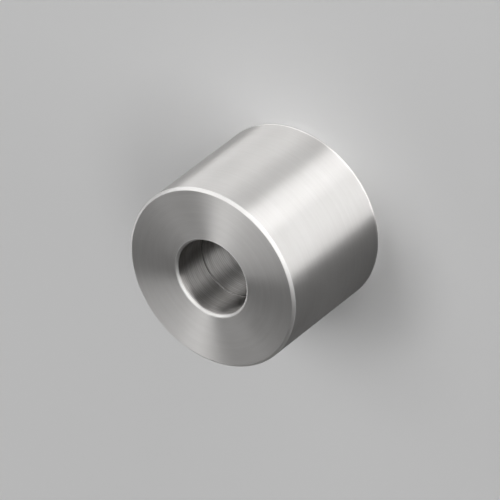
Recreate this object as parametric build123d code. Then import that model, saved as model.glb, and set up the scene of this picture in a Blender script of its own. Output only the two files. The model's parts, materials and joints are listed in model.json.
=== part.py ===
from build123d import *
import os

# Turned spacer bush: one piece of round bar, faced, bored through and finished with small
# chamfers. The front end carries a shallow counterbore, the seat, that ends on a narrow shoulder.
#
# The bush stands on its rear end. The origin is the centre of the rear face, and +Z runs along
# the turning axis to the front face. Lengths are in millimetres.

# Body
outer_diameter = 30.0
overall_length = 23.0

# Bore: a seat at the front end, then a slightly narrower hole through to the rear
seat_diameter = 12.5
seat_depth = 6.3
bore_diameter = 12.0

# Edges, all cut at 45 degrees and given as the leg of the chamfer
front_rim_chamfer = 0.4
rear_rim_chamfer = 0.3
seat_mouth_chamfer = 0.3
shoulder_edge_break = 0.08
bore_rear_chamfer = 0.3

outer_radius = outer_diameter / 2
seat_radius = seat_diameter / 2
bore_radius = bore_diameter / 2
shoulder_height = overall_length - seat_depth


def half_section():
    """The wall of the bush, cut along the axis: radius along X, height along Z."""
    rear_face = [
        (bore_radius + bore_rear_chamfer, 0),
        (outer_radius - rear_rim_chamfer, 0),
    ]
    outside = [
        (outer_radius, rear_rim_chamfer),
        (outer_radius, overall_length - front_rim_chamfer),
    ]
    front_face = [
        (outer_radius - front_rim_chamfer, overall_length),
        (seat_radius + seat_mouth_chamfer, overall_length),
    ]
    seat = [
        (seat_radius, overall_length - seat_mouth_chamfer),
        (seat_radius, shoulder_height),
    ]
    bore = [
        (bore_radius + shoulder_edge_break, shoulder_height),
        (bore_radius, shoulder_height - shoulder_edge_break),
        (bore_radius, bore_rear_chamfer),
    ]
    corners = rear_face + outside + front_face + seat + bore
    return Plane.XZ * make_face(Polyline(*corners, close=True))


def turned_bush():
    """The half section turned once round the axis."""
    return revolve(half_section(), axis=Axis.Z, revolution_arc=360)


os.makedirs("parts", exist_ok=True)
export_step(turned_bush(), "parts/turned_bush.step")
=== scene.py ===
import json
import math

import bpy
from mathutils import Matrix, Vector


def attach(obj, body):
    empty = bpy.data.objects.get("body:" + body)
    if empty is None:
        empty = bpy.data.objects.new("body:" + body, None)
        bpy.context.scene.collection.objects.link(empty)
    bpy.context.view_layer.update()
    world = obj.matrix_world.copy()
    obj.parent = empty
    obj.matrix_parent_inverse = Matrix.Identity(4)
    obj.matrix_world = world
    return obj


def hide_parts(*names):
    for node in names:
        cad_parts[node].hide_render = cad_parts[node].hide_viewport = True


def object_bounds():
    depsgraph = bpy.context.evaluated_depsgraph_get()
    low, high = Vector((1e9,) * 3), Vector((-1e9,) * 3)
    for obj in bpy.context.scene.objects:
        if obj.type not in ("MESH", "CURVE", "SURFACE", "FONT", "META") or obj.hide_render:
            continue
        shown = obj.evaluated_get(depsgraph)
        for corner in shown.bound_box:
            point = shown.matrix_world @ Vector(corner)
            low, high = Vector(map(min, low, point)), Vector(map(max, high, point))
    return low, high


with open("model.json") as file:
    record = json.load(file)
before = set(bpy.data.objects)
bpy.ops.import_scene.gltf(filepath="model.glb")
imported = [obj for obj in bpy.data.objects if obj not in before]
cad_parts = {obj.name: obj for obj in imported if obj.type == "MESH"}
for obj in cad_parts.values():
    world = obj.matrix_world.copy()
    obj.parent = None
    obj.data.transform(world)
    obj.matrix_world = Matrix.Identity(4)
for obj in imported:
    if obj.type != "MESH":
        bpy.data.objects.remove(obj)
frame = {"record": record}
cad_low, cad_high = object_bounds()


# ---------------------------------------------------------------- sizes, in metres

MM = 0.001
MICRON = 1e-6
AXIS_STEPS = 360           # facets round the turning axis
CORNER_ROUND = 0.06 * MM   # radius that deburring leaves on each corner

mounts = {mount["name"]: mount for mount in frame["record"]["mounts"]}


def wall_span(name):
    """Radius, lowest and highest point of a round wall that the record states."""
    mount = mounts[name]
    half = mount["dims"]["length_mm"] * MM / 2
    middle = mount["pos_m"][2]
    return mount["dims"]["r_mm"] * MM, middle - half, middle + half


outer_radius, outside_low, outside_high = wall_span("outside")
seat_radius, shoulder_height, seat_high = wall_span("seat")
bore_radius, bore_low, bore_high = wall_span("bore")
front = cad_high.z
rear = cad_low.z
front_rim_chamfer = front - outside_high
rear_rim_chamfer = outside_low - rear
seat_mouth_chamfer = front - seat_high
shoulder_edge_break = shoulder_height - bore_high
bore_rear_chamfer = bore_low - rear


# ---------------------------------------------------------------- the bush


def select_none():
    bpy.ops.object.select_all(action="DESELECT")


def next_ring(radius, height, last_radius, last_height):
    """Pulls the open ring of edges on to the next corner of the section."""
    bpy.ops.mesh.extrude_edges_move(
        TRANSFORM_OT_translate={"value": (0, 0, height - last_height)}
    )
    scale = radius / last_radius
    bpy.ops.transform.resize(value=(scale, scale, 1), center_override=(0, 0, height))


def model_bush():
    """A ring of the outside diameter, drawn from corner to corner round the section."""
    corners = [
        (outer_radius, outside_low),
        (outer_radius, outside_high),
        (outer_radius - front_rim_chamfer, front),
        (seat_radius + seat_mouth_chamfer, front),
        (seat_radius, seat_high),
        (seat_radius, shoulder_height),
        (bore_radius + shoulder_edge_break, shoulder_height),
        (bore_radius, bore_high),
        (bore_radius, bore_low),
        (bore_radius + bore_rear_chamfer, rear),
        (outer_radius - rear_rim_chamfer, rear),
    ]
    select_none()
    first_radius, first_height = corners[0]
    bpy.ops.mesh.primitive_circle_add(
        vertices=AXIS_STEPS, radius=first_radius, location=(0, 0, first_height)
    )
    bush = bpy.context.object
    bush.name = "bush"
    bpy.ops.object.transform_apply(location=True)
    bpy.ops.object.mode_set(mode="EDIT")
    bpy.ops.mesh.select_mode(type="EDGE")
    bpy.ops.mesh.select_all(action="SELECT")
    for corner, last in zip(corners[1:], corners):
        next_ring(*corner, *last)
    next_ring(*corners[0], *corners[-1])
    bpy.ops.mesh.select_all(action="SELECT")
    bpy.ops.mesh.remove_doubles(threshold=CORNER_ROUND / 100)
    bpy.ops.mesh.normals_make_consistent(inside=False)
    bpy.ops.object.mode_set(mode="OBJECT")
    return bush


def round_corners(bush):
    """The tiny radius on every turned corner, with the flats and walls left truly flat."""
    bevel = bush.modifiers.new("corner rounds", "BEVEL")
    bevel.width = CORNER_ROUND
    bevel.segments = 3
    bevel.limit_method = "ANGLE"
    bevel.angle_limit = math.radians(20)
    bevel.harden_normals = True
    bevel.use_clamp_overlap = True
    bpy.ops.object.shade_smooth()
    bpy.ops.object.modifier_apply(modifier=bevel.name)


bush = model_bush()
round_corners(bush)


# ---------------------------------------------------------------- node helpers


def new_group(name, inputs, outputs):
    """An empty node group with value sockets, and its two end nodes."""
    tree = bpy.data.node_groups.new(name, "ShaderNodeTree")
    for label, start in inputs.items():
        socket = tree.interface.new_socket(label, in_out="INPUT", socket_type="NodeSocketFloat")
        socket.default_value = start
    for label in outputs:
        tree.interface.new_socket(label, in_out="OUTPUT", socket_type="NodeSocketFloat")
    return tree, tree.nodes.new("NodeGroupInput"), tree.nodes.new("NodeGroupOutput")


def feed_socket(tree, socket, source):
    """Sets a socket to a number or a colour, or links it to another node's output."""
    if isinstance(source, bpy.types.NodeSocket):
        tree.links.new(source, socket)
    else:
        socket.default_value = source


def calc(tree, operation, *values):
    """A Math node on numbers and outputs."""
    node = tree.nodes.new("ShaderNodeMath")
    node.operation = operation
    for socket, value in zip(node.inputs, values):
        feed_socket(tree, socket, value)
    return node.outputs[0]


def fade(tree, value, start, end, low=0.0, high=1.0):
    """A smooth step: low at the start value, high at the end value."""
    node = tree.nodes.new("ShaderNodeMapRange")
    node.interpolation_type = "SMOOTHSTEP"
    for socket, part in zip(node.inputs, (value, start, end, low, high)):
        feed_socket(tree, socket, part)
    return node.outputs[0]


def cloud(tree, x, y, z, detail):
    """Noise at a point given by three values."""
    point = tree.nodes.new("ShaderNodeCombineXYZ")
    for socket, value in zip(point.inputs, (x, y, z)):
        feed_socket(tree, socket, value)
    noise = tree.nodes.new("ShaderNodeTexNoise")
    noise.inputs["Scale"].default_value = 1
    noise.inputs["Detail"].default_value = detail
    tree.links.new(point.outputs[0], noise.inputs["Vector"])
    return noise.outputs["Fac"]


def blend(tree, factor, first, second):
    """Mixes two colours, each a tuple or another node's output."""
    node = tree.nodes.new("ShaderNodeMix")
    node.data_type = "RGBA"
    feed_socket(tree, node.inputs[0], factor)
    for socket, colour in ((node.inputs[6], first), (node.inputs[7], second)):
        feed_socket(tree, socket, (*colour, 1) if isinstance(colour, tuple) else colour)
    return node.outputs[2]


def add_group(tree, group, **values):
    """Puts a node group in a material and feeds its inputs."""
    node = tree.nodes.new("ShaderNodeGroup")
    node.node_tree = group
    for label, value in values.items():
        feed_socket(tree, node.inputs[label.replace("_", " ")], value)
    return node.outputs


def point_in_mm(tree):
    """The three object coordinates, in millimetres."""
    coordinate = tree.nodes.new("ShaderNodeTexCoord")
    parts = tree.nodes.new("ShaderNodeSeparateXYZ")
    tree.links.new(coordinate.outputs["Object"], parts.inputs[0])
    return [calc(tree, "MULTIPLY", axis, 1 / MM) for axis in parts.outputs]


# ---------------------------------------------------------------- node groups


def build_place_on_bush():
    """Where a point is on the bush, in millimetres from its axis and from its rear face.
    Side X and Side Y give its direction from the axis without a seam, Turn as a share of a turn."""
    outputs = ("Along", "Out", "Side X", "Side Y", "Turn")
    tree, _, end = new_group("place_on_bush", {}, outputs)
    x, y, z = point_in_mm(tree)
    squares = calc(tree, "ADD", calc(tree, "MULTIPLY", x, x), calc(tree, "MULTIPLY", y, y))
    out = calc(tree, "SQRT", squares)
    turn = calc(tree, "DIVIDE", calc(tree, "ARCTAN2", y, x), 2 * math.pi)
    values = (z, out, calc(tree, "DIVIDE", x, out), calc(tree, "DIVIDE", y, out), turn)
    for socket, value in zip(end.inputs, values):
        tree.links.new(value, socket)
    return tree


def build_turning_marks():
    """The track of the tool nose. Groove is the fine thread that the feed leaves, as a height.
    Streaks are longer rings where the tool cut a little brighter or duller."""
    inputs = {"Feed": 0, "Side X": 0, "Side Y": 0, "Turn": 0, "Pitch": 0.1, "Ring Width": 0.5}
    tree, start, end = new_group("turning_marks", inputs, ("Groove", "Streaks"))
    feed, side_x, side_y, turn, pitch, ring_width = start.outputs[:6]
    wander = cloud(tree, side_x, side_y, calc(tree, "DIVIDE", feed, 3), 2)
    turns = calc(tree, "ADD", calc(tree, "DIVIDE", feed, pitch), turn)
    turns = calc(tree, "ADD", turns, wander)
    wave = calc(tree, "SINE", calc(tree, "MULTIPLY", turns, 2 * math.pi))
    groove = calc(tree, "MULTIPLY_ADD", wave, 0.5, 0.5)
    arc_x = calc(tree, "MULTIPLY", side_x, 1.6)
    arc_y = calc(tree, "MULTIPLY", side_y, 1.6)
    rings = cloud(tree, arc_x, arc_y, calc(tree, "DIVIDE", feed, ring_width), 4)
    tree.links.new(groove, end.inputs["Groove"])
    tree.links.new(fade(tree, rings, 0.3, 0.7), end.inputs["Streaks"])
    return tree


def build_handling_marks():
    """What fingers, cloth and coolant leave. Film is a soft cloudy patch and
    Scuff the fine scratches inside it, as a height."""
    inputs = {"Patch Size": 5, "Scuff Size": 0.4}
    tree, start, end = new_group("handling_marks", inputs, ("Film", "Scuff"))
    patch_size, scuff_size = start.outputs[:2]
    x, y, z = point_in_mm(tree)
    film = cloud(tree, *(calc(tree, "DIVIDE", value, patch_size) for value in (x, y, z)), 3)
    film = fade(tree, film, 0.35, 0.7)
    scuff_length = calc(tree, "MULTIPLY", scuff_size, 9)
    lines = cloud(
        tree,
        calc(tree, "DIVIDE", calc(tree, "ADD", x, z), scuff_length),
        calc(tree, "DIVIDE", calc(tree, "SUBTRACT", y, x), scuff_size),
        calc(tree, "DIVIDE", calc(tree, "SUBTRACT", z, y), scuff_size),
        2,
    )
    scuff = calc(tree, "MULTIPLY", fade(tree, lines, 0.6, 0.72), film)
    tree.links.new(film, end.inputs["Film"])
    tree.links.new(scuff, end.inputs["Scuff"])
    return tree


def build_painted_edge_highlight():
    """A painted highlight: a bright line painted into the colour beside the corners at the two ends
    of a turned surface, where the rims catch the light. A reach is how far the line spreads from
    its corner."""
    inputs = {
        "From Start": 1, "Start Reach": 0.1, "From End": 1, "End Reach": 0.1,
        "Side X": 0, "Side Y": 0,
    }
    tree, start, end = new_group("edge_rub", inputs, ("Rub",))
    from_start, start_reach, from_end, end_reach, side_x, side_y = start.outputs[:6]
    patch_x = calc(tree, "MULTIPLY", side_x, 7)
    patch_y = calc(tree, "MULTIPLY", side_y, 7)
    uneven = fade(tree, cloud(tree, patch_x, patch_y, 0, 3), 0.3, 0.7, 0.75, 1.25)
    start_part = calc(tree, "DIVIDE", from_start, start_reach)
    end_part = calc(tree, "DIVIDE", from_end, end_reach)
    distance = calc(tree, "MULTIPLY", calc(tree, "MINIMUM", start_part, end_part), uneven)
    tree.links.new(fade(tree, distance, 0.4, 1, 1, 0), end.inputs["Rub"])
    return tree


place_on_bush = build_place_on_bush()
turning_marks = build_turning_marks()
handling_marks = build_handling_marks()
edge_rub = build_painted_edge_highlight()


# ---------------------------------------------------------------- materials

STEEL = (0.640, 0.630, 0.620)
DULL_STEEL = (0.585, 0.573, 0.560)
# painted highlight: the bright colour painted along the corners of each turned surface
PAINTED_HIGHLIGHT_STEEL = (0.900, 0.890, 0.880)
EDGE_ON_TINT = (0.42, 0.42, 0.42, 1)   # the grooves shade one another when seen edge-on
ACROSS_THE_GROOVES = 0.25              # a quarter turn from the way the tool went
FILM_SHARE = 0.4                       # of the change in colour, and streaks have the rest
FILM_ROUGHNESS = 0.02
SCUFF_DEPTH = -0.3                     # against a groove's depth


def turned_finish(
    name, feed, ends, *, reaches=(0.1, 0.1), highlight_strength=0.0, pitch, depth, ring_width,
    roughness, anisotropic, colour=STEEL, dull=DULL_STEEL, streak=0.05, thread=0.1,
):
    """Turned steel. Feed says which way the tool went: Along the axis or Out from it.
    Ends are the two places on the feed where the finish stops at a corner, and reaches
    how far the painted highlight beside that corner spreads there. Thread is how much each groove
    shows in the colour, and streak how much the streaks change the roughness. Pitch, ring_width and
    reaches are in millimetres."""
    material = bpy.data.materials.new(name)
    material.use_nodes = True
    tree = material.node_tree
    shader = tree.nodes["Principled BSDF"]
    place = add_group(tree, place_on_bush)
    sides = {"Side_X": place["Side X"], "Side_Y": place["Side Y"]}
    travel = place[feed]
    marks = add_group(
        tree, turning_marks, Feed=travel, Turn=place["Turn"],
        Pitch=pitch, Ring_Width=ring_width, **sides,
    )
    handling = add_group(tree, handling_marks)
    from_start = calc(tree, "SUBTRACT", travel, ends[0] / MM)
    from_end = calc(tree, "SUBTRACT", ends[1] / MM, travel)
    # painted highlight: a bright line beside the corners at both ends of the feed
    painted_highlight = add_group(
        tree, edge_rub, From_Start=from_start, Start_Reach=reaches[0],
        From_End=from_end, End_Reach=reaches[1], **sides,
    )["Rub"]

    streaks = calc(tree, "MULTIPLY", marks["Streaks"], 1 - FILM_SHARE)
    tone = calc(tree, "MULTIPLY_ADD", handling["Film"], FILM_SHARE, streaks)
    tone = calc(tree, "MULTIPLY_ADD", marks["Groove"], thread, tone)
    body = blend(tree, tone, colour, dull)
    # the painted highlight is mixed into the colour here
    bright = blend(tree, calc(tree, "MULTIPLY", painted_highlight, highlight_strength), body, PAINTED_HIGHLIGHT_STEEL)
    tree.links.new(bright, shader.inputs["Base Color"])

    rough = calc(tree, "MULTIPLY_ADD", marks["Streaks"], streak, roughness - streak / 2)
    rough = calc(tree, "MULTIPLY_ADD", handling["Film"], FILM_ROUGHNESS, rough)
    rough = calc(tree, "MULTIPLY_ADD", marks["Groove"], thread * streak, rough)
    tree.links.new(rough, shader.inputs["Roughness"])

    bump = tree.nodes.new("ShaderNodeBump")
    bump.inputs["Distance"].default_value = depth
    height = calc(tree, "MULTIPLY_ADD", handling["Scuff"], SCUFF_DEPTH, marks["Groove"])
    tree.links.new(height, bump.inputs["Height"])
    tree.links.new(bump.outputs["Normal"], shader.inputs["Normal"])

    tangent = tree.nodes.new("ShaderNodeTangent")
    tangent.direction_type = "RADIAL"
    tangent.axis = "Z"
    tree.links.new(tangent.outputs["Tangent"], shader.inputs["Tangent"])
    shader.inputs["Metallic"].default_value = 1
    shader.inputs["Anisotropic"].default_value = anisotropic
    shader.inputs["Anisotropic Rotation"].default_value = ACROSS_THE_GROOVES
    shader.inputs["Specular Tint"].default_value = EDGE_ON_TINT
    return material


past_both_ends = (rear - MM, front + MM)
# Wall, face, seat and bore carry a painted highlight along their corners, the wall's strongest.
finishes = [
    turned_finish(
        "wall_finish", "Along", (outside_low, outside_high),
        reaches=(0.42, 0.05), highlight_strength=0.9, pitch=0.10, depth=0.6 * MICRON, ring_width=0.35,
        roughness=0.53, anisotropic=1.0, dull=(0.615, 0.604, 0.593), streak=0.02,
    ),
    turned_finish(
        "face_finish", "Out",
        (seat_radius + seat_mouth_chamfer, outer_radius - front_rim_chamfer),
        reaches=(0.2, 0.05), highlight_strength=0.6, pitch=0.12, depth=0.8 * MICRON, ring_width=0.5,
        roughness=0.46, anisotropic=0.90, dull=(0.605, 0.594, 0.583), streak=0.03,
    ),
    # The chamfers are painted brighter than the rest of the steel: a painted highlight that makes
    # the rims read as bright lines.
    turned_finish(
        "chamfer_finish", "Along", past_both_ends,
        pitch=0.10, depth=0.4 * MICRON, ring_width=0.2, roughness=0.56, anisotropic=0.5,
        colour=(0.72, 0.71, 0.70), dull=(0.66, 0.65, 0.64), streak=0.02,
    ),
    turned_finish(
        "seat_finish", "Along", (shoulder_height, seat_high),
        reaches=(0.05, 0.15), highlight_strength=0.3, pitch=0.38, depth=6 * MICRON, ring_width=0.4,
        roughness=0.50, anisotropic=1.0,
        colour=(0.67, 0.66, 0.65), dull=(0.485, 0.47, 0.455), streak=0.10, thread=0.5,
    ),
    turned_finish(
        "bore_finish", "Along", (bore_low, bore_high),
        highlight_strength=0.1, pitch=0.38, depth=6 * MICRON, ring_width=0.4,
        roughness=0.52, anisotropic=1.0,
        colour=(0.80, 0.79, 0.78), dull=(0.56, 0.545, 0.53), streak=0.10, thread=0.5,
    ),
    # The shoulder at the foot of the seat is painted dark: painted shade for the dark line at the
    # inner step.
    turned_finish(
        "shoulder_finish", "Out", (bore_radius - MM, seat_radius + MM),
        pitch=0.12, depth=0.6 * MICRON, ring_width=0.3, roughness=0.35, anisotropic=0.3,
        colour=(0.30, 0.29, 0.28), dull=(0.24, 0.23, 0.22),
    ),
    # The edge break at the inner step is painted darker than the steel: painted shade that dims its
    # reflection.
    turned_finish(
        "edge_break_finish", "Along", past_both_ends,
        pitch=0.10, depth=0.2 * MICRON, ring_width=0.2, roughness=0.40, anisotropic=0.3,
        colour=(0.36, 0.35, 0.34), dull=(0.30, 0.29, 0.28), streak=0.02,
    ),
]
WALL, FACE, CHAMFER, SEAT, BORE, SHOULDER, EDGE_BREAK = range(len(finishes))
FLAT = 0.95      # how far a surface faces along the axis
SLOPED = 0.05


def dress(bush):
    """Gives each turned surface its own finish; the chamfers carry the painted highlight, the
    shoulder and its edge break the painted shade.
    """
    for material in finishes:
        bush.data.materials.append(material)
    for surface in bush.data.polygons:
        facing = abs(surface.normal.z)
        radius = surface.center.xy.length
        at_shoulder = abs(surface.center.z - shoulder_height) < 5 * shoulder_edge_break
        if facing > FLAT and at_shoulder:
            surface.material_index = SHOULDER
        elif facing > FLAT:
            surface.material_index = FACE
        elif facing > SLOPED and not at_shoulder:
            surface.material_index = CHAMFER
        elif facing > SLOPED and radius < (seat_radius + bore_radius) / 2:
            surface.material_index = EDGE_BREAK
        elif radius > (outer_radius + seat_radius) / 2:
            surface.material_index = WALL
        elif surface.center.z > shoulder_height:
            surface.material_index = SEAT
        else:
            surface.material_index = BORE


dress(bush)
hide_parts("turned_bush")
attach(bush, "root")


# ---------------------------------------------------------------- floor, world, camera

FLOOR_SIZE = 12.0
FLOOR_GREY = 0.62
FLOOR_ROUGHNESS = 0.9
STUDIO_LEVEL = 0.03
HORIZON_LEVEL = 0.38


def make_floor():
    select_none()
    bpy.ops.mesh.primitive_plane_add(size=FLOOR_SIZE, location=(0, 0, rear))
    floor = bpy.context.object
    floor.name = "floor"
    bpy.ops.object.transform_apply(location=True)
    material = bpy.data.materials.new("pale_floor")
    material.use_nodes = True
    shader = material.node_tree.nodes["Principled BSDF"]
    shader.inputs["Base Color"].default_value = (FLOOR_GREY, FLOOR_GREY, FLOOR_GREY, 1)
    shader.inputs["Roughness"].default_value = FLOOR_ROUGHNESS
    floor.data.materials.append(material)


CAMERA_ELEVATION = math.radians(44.55)
CAMERA_ROLL = math.radians(127.47)
CAMERA_DISTANCE = 1.0723
CAMERA_AIM = Vector((-0.16, 0, 12.9)) * MM
CAMERA_LENS = 511.3


def make_camera():
    camera = bpy.data.objects.new("camera", bpy.data.cameras.new("camera"))
    bpy.context.scene.collection.objects.link(camera)
    turn = Matrix.Rotation(math.pi / 2 - CAMERA_ELEVATION, 4, "X")
    turn = turn @ Matrix.Rotation(-CAMERA_ROLL, 4, "Z")
    back = turn.to_3x3() @ Vector((0, 0, 1))
    camera.matrix_world = Matrix.Translation(CAMERA_AIM + back * CAMERA_DISTANCE) @ turn
    camera.data.lens = CAMERA_LENS
    camera.data.sensor_width = 36
    camera.data.clip_start = 0.05
    camera.data.clip_end = 20
    bpy.context.scene.camera = camera


def make_world():
    """A dim studio. Past the end of the floor, the horizon carries on the floor's grey."""
    world = bpy.data.worlds.new("studio")
    world.use_nodes = True
    tree = world.node_tree
    direction = tree.nodes.new("ShaderNodeTexCoord")
    parts = tree.nodes.new("ShaderNodeSeparateXYZ")
    tree.links.new(direction.outputs["Generated"], parts.inputs[0])
    level = fade(tree, parts.outputs["Z"], 0.01, 0.03, HORIZON_LEVEL, STUDIO_LEVEL)
    background = tree.nodes["Background"]
    background.inputs["Color"].default_value = (1, 1, 1, 1)
    tree.links.new(level, background.inputs["Strength"])
    bpy.context.scene.world = world


# ---------------------------------------------------------------- lamps

LAMP_DISTANCE = 3.0
LAMPS = (
    # name, azimuth, elevation, wide, tall, brightness
    ("low_strip", -24.5, 4, 49, 8, 17),
    ("low_accent", 15.5, 2.5, 31, 5, 42),
    ("low_gap", 46, 2.5, 28, 5, 11.5),
    ("low_side", 84, 4, 50, 8, 11.2),
    ("front_high", -33, 50, 34, 18, 3.4),
    ("front_top", 2, 66, 20, 14, 4),
    ("fan_key", 92, 66, 32, 16, 4.5),
    ("side_mid", 116, 17, 44, 12, 2.0),
    ("side_high", 80, 50, 22, 16, 2),
    ("top", 90, 80, 14, 12, 4.5),
    ("back", 166, 40, 56, 18, 0.66),
    ("back_low", 160, 7, 34, 12, 3.5),
)


def softbox(name, azimuth, elevation, wide, tall, brightness):
    """A soft panel that faces the bush, its place and span in degrees.
    Azimuth 0 is in front of the bush and 90 is on its +X side. Brightness 1 looks white."""
    a, e = math.radians(azimuth), math.radians(elevation)
    away = Vector((math.sin(a) * math.cos(e), -math.cos(a) * math.cos(e), math.sin(e)))
    lamp = bpy.data.lights.new(name, "AREA")
    lamp.shape = "RECTANGLE"
    lamp.size = 2 * LAMP_DISTANCE * math.tan(math.radians(wide / 2))
    lamp.size_y = 2 * LAMP_DISTANCE * math.tan(math.radians(tall / 2))
    lamp.energy = math.pi * lamp.size * lamp.size_y * brightness
    light = bpy.data.objects.new(name, lamp)
    bpy.context.scene.collection.objects.link(light)
    light.location = away * LAMP_DISTANCE
    light.rotation_mode = "QUATERNION"
    light.rotation_quaternion = away.to_track_quat("Z", "Y")
    light.visible_camera = False


make_floor()
make_camera()
make_world()
for lamp in LAMPS:
    softbox(*lamp)

bpy.context.scene.view_settings.view_transform = "Standard"
